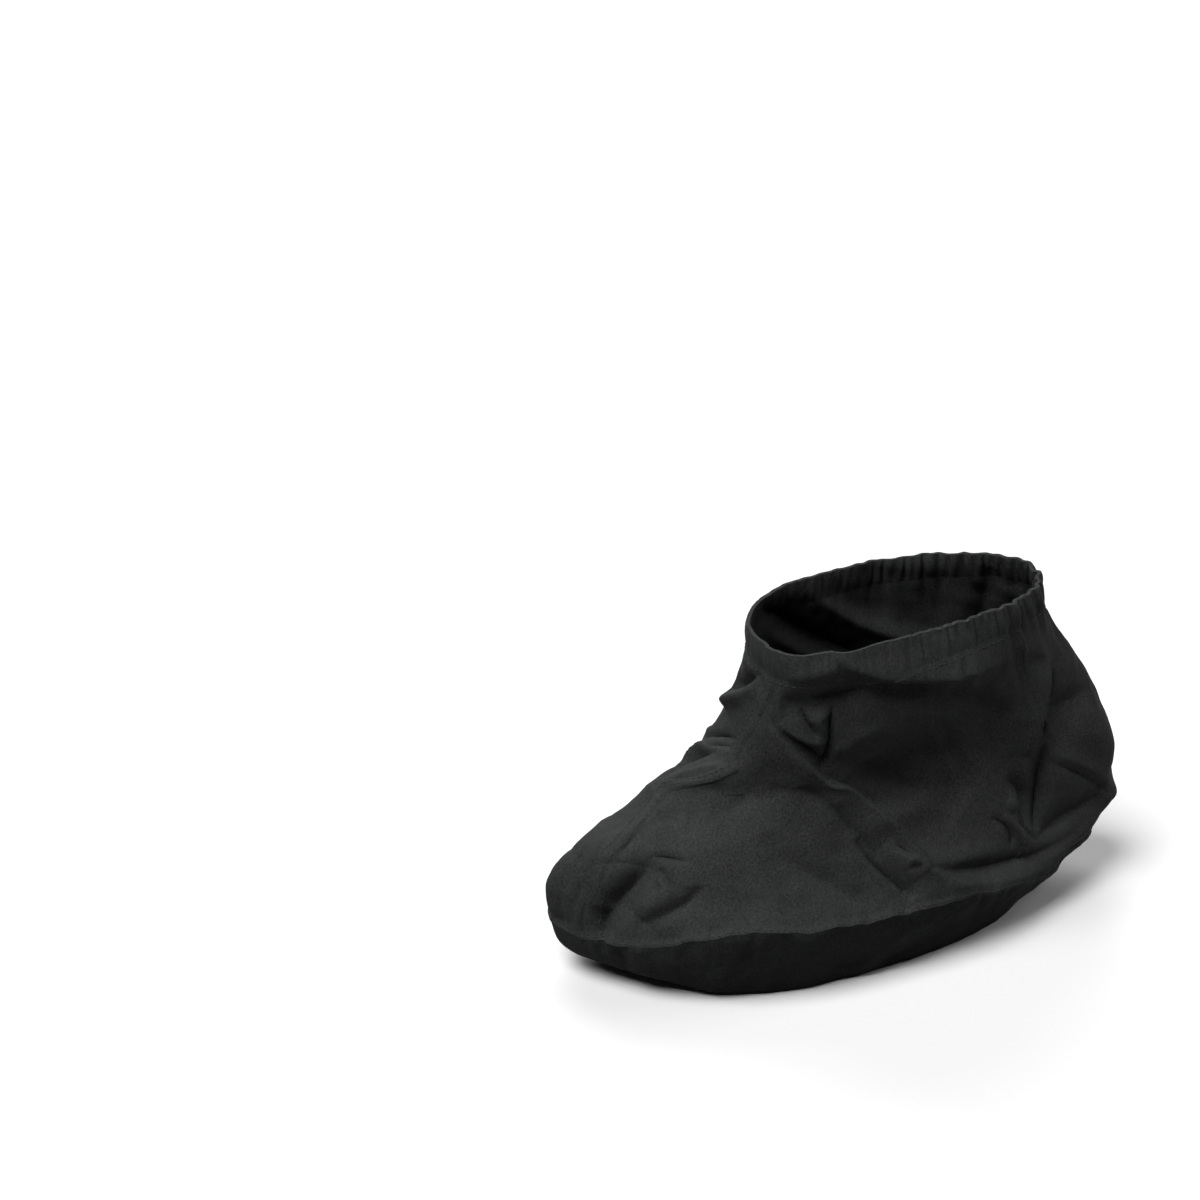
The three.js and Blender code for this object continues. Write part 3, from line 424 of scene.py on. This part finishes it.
def cloth_shell(name, outer, inner, cloth_places, closed, material):
    """A closed shell between two grids of the same size. Its UV map is its places on the cloth in metres."""
    rows, columns = outer.shape[:2]
    if closed:
        columns -= 1
    sides = [side[:, :columns].reshape(-1, 3) for side in (outer, inner)]
    index = np.arange(2 * rows * columns).reshape(2, rows, columns)
    here = np.arange(columns if closed else columns - 1)
    ahead = (here + 1) % columns
    a, b = index[:, :-1][:, :, here], index[:, :-1][:, :, ahead]
    c, d = index[:, 1:][:, :, ahead], index[:, 1:][:, :, here]
    faces = [np.stack([a[0], b[0], c[0], d[0]], -1), np.stack([a[1], d[1], c[1], b[1]], -1)]
    for row, order in ((0, (0, 2, 3, 1)), (-1, (0, 1, 3, 2))):
        corners = [index[0, row, here], index[0, row, ahead], index[1, row, here], index[1, row, ahead]]
        faces.append(np.stack([corners[k] for k in order], -1))
    if not closed:
        for column, order in ((0, (0, 1, 3, 2)), (columns - 1, (0, 2, 3, 1))):
            corners = [index[0, :-1, column], index[0, 1:, column],
                       index[1, :-1, column], index[1, 1:, column]]
            faces.append(np.stack([corners[k] for k in order], -1))
    faces = np.concatenate([f.reshape(-1, 4) for f in faces])
    mesh = bpy.data.meshes.new(name)
    mesh.from_pydata((np.concatenate(sides) / 1000).tolist(), [], faces.tolist())
    wide = np.concatenate([cloth_places[:, :columns].reshape(-1, 2)] * 2) / 1000
    uv = mesh.uv_layers.new(name="cloth")
    corner_points = np.empty(len(mesh.loops), dtype=np.int64)
    mesh.loops.foreach_get("vertex_index", corner_points)
    uv.data.foreach_set("uv", wide[corner_points].astype(np.float32).ravel())
    mesh.materials.append(material)
    mesh.shade_smooth()
    mesh.set_sharp_from_angle(angle=math.radians(62))
    piece = bpy.data.objects.new(name, mesh)
    bpy.context.scene.collection.objects.link(piece)
    return piece


DARK_FLECK, LIGHT_FLECK = 0.52, 1.48


def cloth_material(name, colour, roughness, thread):
    """Plain woven polyester: crossing threads of this width in metres, fine grain and a soft uneven tone."""
    material = bpy.data.materials.new(name)
    material.use_nodes = True
    nodes, links = material.node_tree.nodes, material.node_tree.links
    shader = nodes["Principled BSDF"]
    shader.inputs["Roughness"].default_value = roughness
    shader.inputs["Specular IOR Level"].default_value = 0.03
    places = nodes.new("ShaderNodeUVMap")
    places.uv_map = "cloth"
    split = nodes.new("ShaderNodeSeparateXYZ")
    links.new(places.outputs["UV"], split.inputs["Vector"])
    waves = []
    for axis in ("X", "Y"):
        scale = nodes.new("ShaderNodeMath")
        scale.operation = "MULTIPLY"
        scale.inputs[1].default_value = math.pi / thread
        links.new(split.outputs[axis], scale.inputs[0])
        sine = nodes.new("ShaderNodeMath")
        sine.operation = "SINE"
        links.new(scale.outputs[0], sine.inputs[0])
        waves.append(sine)
    weave = nodes.new("ShaderNodeMath")
    weave.operation = "MULTIPLY"
    links.new(waves[0].outputs[0], weave.inputs[0])
    links.new(waves[1].outputs[0], weave.inputs[1])
    body = nodes.new("ShaderNodeTexCoord")
    grain = nodes.new("ShaderNodeTexNoise")
    grain.inputs["Scale"].default_value = 900
    grain.inputs["Detail"].default_value = 3
    links.new(body.outputs["Object"], grain.inputs["Vector"])
    height = nodes.new("ShaderNodeMath")
    height.operation = "MULTIPLY_ADD"
    height.inputs[1].default_value = 0.35
    links.new(weave.outputs[0], height.inputs[0])
    links.new(grain.outputs["Fac"], height.inputs[2])
    bump = nodes.new("ShaderNodeBump")
    bump.inputs["Strength"].default_value = 0.35
    bump.inputs["Distance"].default_value = 0.0002
    links.new(height.outputs[0], bump.inputs["Height"])
    crumple = nodes.new("ShaderNodeTexNoise")
    crumple.inputs["Scale"].default_value = 60
    crumple.inputs["Detail"].default_value = 4
    crumple.inputs["Distortion"].default_value = 0.6
    links.new(body.outputs["Object"], crumple.inputs["Vector"])
    soft_bump = nodes.new("ShaderNodeBump")
    soft_bump.inputs["Strength"].default_value = 0.30
    soft_bump.inputs["Distance"].default_value = 0.0012
    links.new(crumple.outputs["Fac"], soft_bump.inputs["Height"])
    links.new(bump.outputs["Normal"], soft_bump.inputs["Normal"])
    links.new(soft_bump.outputs["Normal"], shader.inputs["Normal"])
    tone = nodes.new("ShaderNodeTexNoise")
    tone.inputs["Scale"].default_value = 22
    tone.inputs["Detail"].default_value = 3
    links.new(body.outputs["Object"], tone.inputs["Vector"])
    fleck = nodes.new("ShaderNodeTexNoise")
    fleck.inputs["Scale"].default_value = 1000
    fleck.inputs["Detail"].default_value = 2
    links.new(body.outputs["Object"], fleck.inputs["Vector"])
    speckle = nodes.new("ShaderNodeMath")
    speckle.operation = "MULTIPLY_ADD"
    speckle.inputs[1].default_value = 0.4
    links.new(tone.outputs["Fac"], speckle.inputs[0])
    links.new(fleck.outputs["Fac"], speckle.inputs[2])
    ramp = nodes.new("ShaderNodeValToRGB")
    ramp.color_ramp.elements[0].position = 0.45
    ramp.color_ramp.elements[0].color = (*[DARK_FLECK * c for c in colour], 1)
    ramp.color_ramp.elements[1].position = 0.95
    ramp.color_ramp.elements[1].color = (*[LIGHT_FLECK * c for c in colour], 1)
    links.new(speckle.outputs[0], ramp.inputs["Fac"])
    links.new(ramp.outputs["Color"], shader.inputs["Base Color"])
    return material


upper_cloth = cloth_material("upper_cloth", (0.0080, 0.0085, 0.0083), 0.74, 0.00042)
wide = rounds[None] * girth[:, None]
cloth_places = np.stack([wide, climb], -1)
seam = int(round(SIDE_SEAM * COLUMNS))
# Each panel's first and last column round the cover, split at the side seams
panel_ends = {"lateral": (0, seam), "heel": (seam, COLUMNS - seam), "medial": (COLUMNS - seam, COLUMNS)}
for name, (start, end) in panel_ends.items():
    part = (slice(0, UPPER_ROWS + 1), slice(start, end + 1))
    outer = surface[part] + normals[part] * CLOTH / 2 + cad_shift
    inner = surface[part] - normals[part] * CLOTH / 2 + cad_shift
    panel = cloth_shell(name + "_cloth", outer, inner, cloth_places[part], False, upper_cloth)
    node = "heel_panel" if name == "heel" else name + "_upper"
    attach(panel, "root")
    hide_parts(node)

# Hem: the top edge is turned over an elastic and stitched down, so it is thicker and finely ruched.
# The ruching is close at the back of the ankle and almost flat over the instep.
HEM_THICKNESS = 3.4
RUCHES = 74
RUCHE_IN_FRONT, RUCHE_MORE_BEHIND = 0.15, 0.55
hem_rows = np.linspace(0, 1, HEM_ROWS + 1)[:, None]
swell = CLOTH + (HEM_THICKNESS - CLOTH) * np.sin(math.pi * hem_rows)
uneven = 1.3 * np.sin(2 * math.pi * 9 * rounds) + 0.9 * np.sin(2 * math.pi * 23 * rounds)
phase = 2 * math.pi * RUCHES * rounds + uneven
ruche = (RUCHE_IN_FRONT + RUCHE_MORE_BEHIND * behind) * np.cos(phase) * np.sin(math.pi * hem_rows)
part = slice(UPPER_ROWS, None)
outer = surface[part] + normals[part] * (swell / 2 + ruche)[..., None] + cad_shift
inner = surface[part] - normals[part] * (swell / 2 - ruche)[..., None] + cad_shift
hem_cloth = cloth_material("hem_cloth", (0.0076, 0.0081, 0.0079), 0.76, 0.00042)
hem = cloth_shell("hem_casing", outer, inner, cloth_places[part], True, hem_cloth)
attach(hem, "root")
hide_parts("top_hem")

# Sole: a pan of closer woven cloth. It stands up as a band to the sole seam, turns under and lies flat
# on the floor, lifted a little at the toe and the heel.
SIDE_TURN, TOE_TURN, HEEL_TURN = 4, 16, 24
SIDE_UNDERCUT, HEEL_UNDERCUT = 7, 14
TOE_SPRING, HEEL_SPRING = 8, 12
END_POWER = 1.2
TOE_END_START, TOE_END_LENGTH = 0.17, 0.27
HEEL_END_START, HEEL_END_LENGTH = 0.24, 0.25
TREAD_FALL = 1.3
SPINE_FRONT, SPINE_BACK = -0.29, 0.24
BAND_ROWS, TREAD_ROWS, TURNED_ROWS = 26, 22, 4
BAND_FOLD_COLUMNS = ["round0", "down0", "round1", "down1", "round2", "down2", "height", "width"]
BAND_FOLDS = [
    [0.218, 0.98, 0.256, 0.46, 0.320, 0.10, 2.4, 2.6],
    [0.240, 0.95, 0.275, 0.60, 0.350, 0.35, -1.4, 4.0],
    [0.196, 0.62, 0.210, 0.70, 0.226, 0.74, -1.2, 1.8],
    [0.122, 0.30, 0.128, 0.34, 0.136, 0.36, -1.0, 2.2],
    [0.016, -0.10, 0.020, 0.25, 0.022, 0.60, -3.0, 4.0],
    [0.060, 0.20, 0.085, 0.55, 0.120, 0.70, 0.8, 4.0],
    [-0.120, 0.05, -0.150, 0.40, -0.200, 0.70, 1.6, 3.0],
    [-0.300, 0.10, -0.340, 0.40, -0.370, 0.80, -1.4, 3.0],
    [0.400, 0.10, 0.420, 0.40, 0.430, 0.75, -1.0, 2.5],
]
rim = surface[0]
plain_rim = plain[0]
spine_along = np.clip(plain_rim[:, 1], SPINE_FRONT * FOOT_LENGTH, SPINE_BACK * FOOT_LENGTH)
spine = np.stack([0 * rounds, spine_along], -1)
inward = np.zeros_like(plain_rim)
inward[:, :2] = unit(spine - plain_rim[:, :2])
toe = np.clip((-plain_rim[:, 1] / FOOT_LENGTH - TOE_END_START) / TOE_END_LENGTH, 0, 1) ** END_POWER
heel = np.clip((plain_rim[:, 1] / FOOT_LENGTH - HEEL_END_START) / HEEL_END_LENGTH, 0, 1) ** END_POWER
turned = SIDE_TURN + (TOE_TURN - SIDE_TURN) * toe + (HEEL_TURN - SIDE_TURN) * heel
undercut = SIDE_UNDERCUT * (1 - toe) * (1 - heel) + HEEL_UNDERCUT * heel
lifted = TOE_SPRING * toe + HEEL_SPRING * heel
rows = []
for k in range(BAND_ROWS + 1):
    angle = math.pi / 2 * k / BAND_ROWS
    fade = (1 - k / BAND_ROWS) ** 2
    slope = turned * (1 - math.cos(angle)) + undercut * math.sin(angle)
    row = plain_rim + (rim - plain_rim) * fade + inward * slope[:, None]
    row[:, 2] = (lifted + (plain_rim[:, 2] - lifted) * (1 - math.sin(angle))
                 + (rim[:, 2] - plain_rim[:, 2]) * fade)
    rows.append(row)
edge = rows[-1]
for k in range(1, TREAD_ROWS + 1):
    share = k / TREAD_ROWS
    row = edge.copy()
    row[:, :2] = edge[:, :2] + (spine - edge[:, :2]) * share
    row[:, 2] = edge[:, 2] * (1 - smooth(share * TREAD_FALL))
    rows.append(row)
pan = np.stack(rows)[::-1]
pan_normals = grid_normals(pan)
pan_normals[:TREAD_ROWS - TURNED_ROWS] = (0, 0, -1)
pan_normals = unit(pan_normals)
pan_normals[-1] = normals[0]
down = np.linalg.norm(np.diff(pan, axis=0), axis=-1)
pan_climb = np.concatenate([np.zeros((1, COLUMNS + 1)), np.cumsum(down, 0)]) - down.sum(0)
band_pucker = seam_puckers(pan_climb, (0.005, 0.020), (0.0020, 0.0050), 0.8, (4, 12))
band_length = down[TREAD_ROWS:].sum(0)
BAND_FOLD_POINTS = 33
for fold in BAND_FOLDS:
    fold = dict(zip(BAND_FOLD_COLUMNS, fold))
    ways = np.linspace(0, 1, BAND_FOLD_POINTS)
    around = bent_line(fold["round0"], fold["round1"], fold["round2"], ways)[:, None, None]
    depth = bent_line(fold["down0"], fold["down1"], fold["down2"], ways)[:, None, None]
    aside = (rounds - around) * girth[0]
    below = (-pan_climb / band_length - depth) * band_length.mean()
    away = np.sqrt(aside**2 + below**2)
    taper = np.sin(math.pi * np.clip(ways[away.argmin(0)], 0.02, 0.98)) ** 0.6
    band_pucker += fold["height"] * np.exp(-(away.min(0) / fold["width"]) ** 1.5) * taper
upright = np.clip(1 - pan_normals[..., 2] ** 2, 0, 1)
band_pucker += upright * (0.4 * soft_noise(pan, 22) + 0.2 * soft_noise(pan, 9))
pan = pan + pan_normals * band_pucker[..., None]
pan[..., 2] = np.maximum(pan[..., 2], CLOTH / 2)
pan[-1] = surface[0]
pan[:, -1] = pan[:, 0]
outer = pan + pan_normals * CLOTH / 2 + cad_shift
inner = pan - pan_normals * CLOTH / 2 + cad_shift
outer[..., 2] = np.maximum(outer[..., 2], 0)
# The sole cloth is darker than the upper cloth: painted shade on the band, which faces down.
sole_cloth = cloth_material("sole_cloth", (0.0058, 0.0062, 0.0061), 0.80, 0.00060)
pan_places = np.stack([np.broadcast_to(rounds * girth[0], pan.shape[:2]), pan_climb], -1)
sole = cloth_shell("sole_cloth_pan", outer, inner, pan_places, True, sole_cloth)
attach(sole, "root")
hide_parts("sole")

# Topstitching: black polyester thread in short stitches, in pairs along the toe seam and both side seams,
# in one row above the sole seam and one under the hem.
STITCH, STITCH_GAP, THREAD = 2.4, 0.6, 0.38
STITCH_SIDES = 6
TOE_ROWS_APART, SIDE_ROWS_APART = 2.4, 2.0
TOE_ROW_START, TOE_ROW_LENGTH = 0.015, 0.88
SIDE_ROW_START, SIDE_ROW_LENGTH = 0.02, 0.87
ROW_INSET, NEARLY_ROUND = 0.012, 0.9999
stitch_points, stitch_faces = [], []


def stitch_row(around, up):
    """A row of stitches laid along a line that is given by shares round and up the cover."""
    line = grid_point(surface, around, row_at(up))
    out = unit(grid_point(normals, around, row_at(up)))
    reached = np.concatenate([[0], np.cumsum(np.linalg.norm(np.diff(line, axis=0), axis=1))])
    for start in np.arange(0, reached[-1] - STITCH, STITCH + STITCH_GAP):
        steps = start + STITCH * np.array([0, 0.18, 0.5, 0.82, 1])
        lift = THREAD * np.array([-0.35, 0.25, 0.45, 0.25, -0.35]) + CLOTH / 2
        thick = THREAD * np.array([0.30, 0.48, 0.52, 0.48, 0.30])
        centre = np.stack([np.interp(steps, reached, line[:, k]) for k in range(3)], 1)
        normal = unit(np.stack([np.interp(steps, reached, out[:, k]) for k in range(3)], 1))
        ahead = unit(np.gradient(centre, axis=0))
        side = unit(np.cross(ahead, normal))
        base = sum(len(block) for block in stitch_points)
        turns = 2 * math.pi * np.arange(STITCH_SIDES) / STITCH_SIDES
        ring = (centre + normal * lift[:, None])[:, None] + thick[:, None, None] * (
            np.cos(turns)[None, :, None] * side[:, None] + np.sin(turns)[None, :, None] * normal[:, None])
        stitch_points.append(ring.reshape(-1, 3))
        last = base + STITCH_SIDES * (len(steps) - 1)
        for first in range(base, last, STITCH_SIDES):
            for m in range(STITCH_SIDES):
                here, beside = first + m, first + (m + 1) % STITCH_SIDES
                stitch_faces.append((here, beside, beside + STITCH_SIDES, here + STITCH_SIDES))
        stitch_faces.append(tuple(base + m for m in reversed(range(STITCH_SIDES))))
        stitch_faces.append(tuple(last + m for m in range(STITCH_SIDES)))


long_line = np.linspace(0, 1, 400)
for apart in (-TOE_ROWS_APART, TOE_ROWS_APART):
    level = TOE_ROW_START + TOE_ROW_LENGTH * long_line
    stitch_row(apart / np.interp(row_at(level), np.arange(len(girth)), girth), level)
for middle in (SIDE_SEAM, 1 - SIDE_SEAM):
    for apart in (-SIDE_ROWS_APART, SIDE_ROWS_APART):
        level = SIDE_ROW_START + SIDE_ROW_LENGTH * long_line
        stitch_row(middle + apart / np.interp(row_at(level), np.arange(len(girth)), girth), level)
stitch_row(np.linspace(0, NEARLY_ROUND, 1600), np.full(1600, ROW_INSET))
stitch_row(np.linspace(0, NEARLY_ROUND, 900), np.full(900, HEM_START - ROW_INSET))
thread = cloth_material("thread", (0.012, 0.0125, 0.0125), 0.50, 0.00025)
stitch_mesh = bpy.data.meshes.new("topstitching")
stitch_mesh.from_pydata(((np.concatenate(stitch_points) + cad_shift) / 1000).tolist(), [], stitch_faces)
stitch_mesh.uv_layers.new(name="cloth")
stitch_mesh.materials.append(thread)
stitch_mesh.shade_smooth()
stitches = bpy.data.objects.new("topstitching", stitch_mesh)
bpy.context.scene.collection.objects.link(stitches)
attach(stitches, "root")

# Floor: plain and pale, and wide enough to fill the view. The lamps bring it to white in the picture, with
# a soft shadow round the cover.
FLOOR_REACH = 30
floor_corners = [(-1, -1), (1, -1), (1, 1), (-1, 1)]
floor_mesh = bpy.data.meshes.new("floor")
floor_mesh.from_pydata([(FLOOR_REACH * x, FLOOR_REACH * y, 0) for x, y in floor_corners], [], [(0, 1, 2, 3)])
floor_paint = bpy.data.materials.new("floor_paint")
floor_paint.use_nodes = True
floor_shader = floor_paint.node_tree.nodes["Principled BSDF"]
floor_shader.inputs["Base Color"].default_value = (0.24, 0.24, 0.24, 1)
floor_shader.inputs["Roughness"].default_value = 0.9
floor_shader.inputs["Specular IOR Level"].default_value = 0.1
floor_mesh.materials.append(floor_paint)
floor = bpy.data.objects.new("floor", floor_mesh)
bpy.context.scene.collection.objects.link(floor)

# Backdrop: a white wall far round the cover, as bright as the floor. Only the camera sees it, and it sheds
# no light on the cloth.
BACKDROP_RADIUS, BACKDROP_HEIGHT, BACKDROP_SIDES = 12.0, 4.0, 48
wall_turns = [2 * math.pi * side / BACKDROP_SIDES for side in range(BACKDROP_SIDES)]
wall_points = [
    (BACKDROP_RADIUS * math.cos(turn_at), BACKDROP_RADIUS * math.sin(turn_at), level)
    for level in (0.0, BACKDROP_HEIGHT)
    for turn_at in wall_turns
]
wall_faces = [
    (side, (side + 1) % BACKDROP_SIDES, BACKDROP_SIDES + (side + 1) % BACKDROP_SIDES, BACKDROP_SIDES + side)
    for side in range(BACKDROP_SIDES)
]
wall_mesh = bpy.data.meshes.new("backdrop")
wall_mesh.from_pydata(wall_points, [], wall_faces)
wall_paint = bpy.data.materials.new("backdrop_paint")
wall_paint.use_nodes = True
wall_shader = wall_paint.node_tree.nodes["Principled BSDF"]
wall_shader.inputs["Base Color"].default_value = (0, 0, 0, 1)
wall_shader.inputs["Emission Color"].default_value = (1, 1, 1, 1)
wall_shader.inputs["Emission Strength"].default_value = 1.05
wall_mesh.materials.append(wall_paint)
backdrop = bpy.data.objects.new("backdrop", wall_mesh)
backdrop.visible_diffuse = False
backdrop.visible_glossy = False
backdrop.visible_shadow = False
bpy.context.scene.collection.objects.link(backdrop)

# Light: a broad soft lamp high over the toe, weaker ones behind the heel and on the inner side, and a dim
# even surround. Each lamp has its azimuth, height and width in degrees, and its power.
LAMPS = [
    ("overhead", 14, 62, 36, 11.8),
    ("rear", 166, 36, 36, 2.6),
    ("inner", 255, 38, 40, 5.0),
]
world = bpy.data.worlds.new("surround")
world.use_nodes = True
world.node_tree.nodes["Background"].inputs["Color"].default_value = (1, 1, 1, 1)
world.node_tree.nodes["Background"].inputs["Strength"].default_value = 0.08
bpy.context.scene.world = world
for name, azimuth, height, width, power in LAMPS:
    lamp = bpy.data.lights.new(name, "SUN")
    lamp.angle = math.radians(width)
    lamp.energy = power
    around, rise = math.radians(azimuth), math.radians(height)
    towards = Vector((math.sin(around) * math.cos(rise), -math.cos(around) * math.cos(rise), math.sin(rise)))
    holder = bpy.data.objects.new(name, lamp)
    holder.matrix_world = towards.to_track_quat("Z", "Y").to_matrix().to_4x4()
    bpy.context.scene.collection.objects.link(holder)
bpy.context.scene.view_settings.view_transform = "Standard"
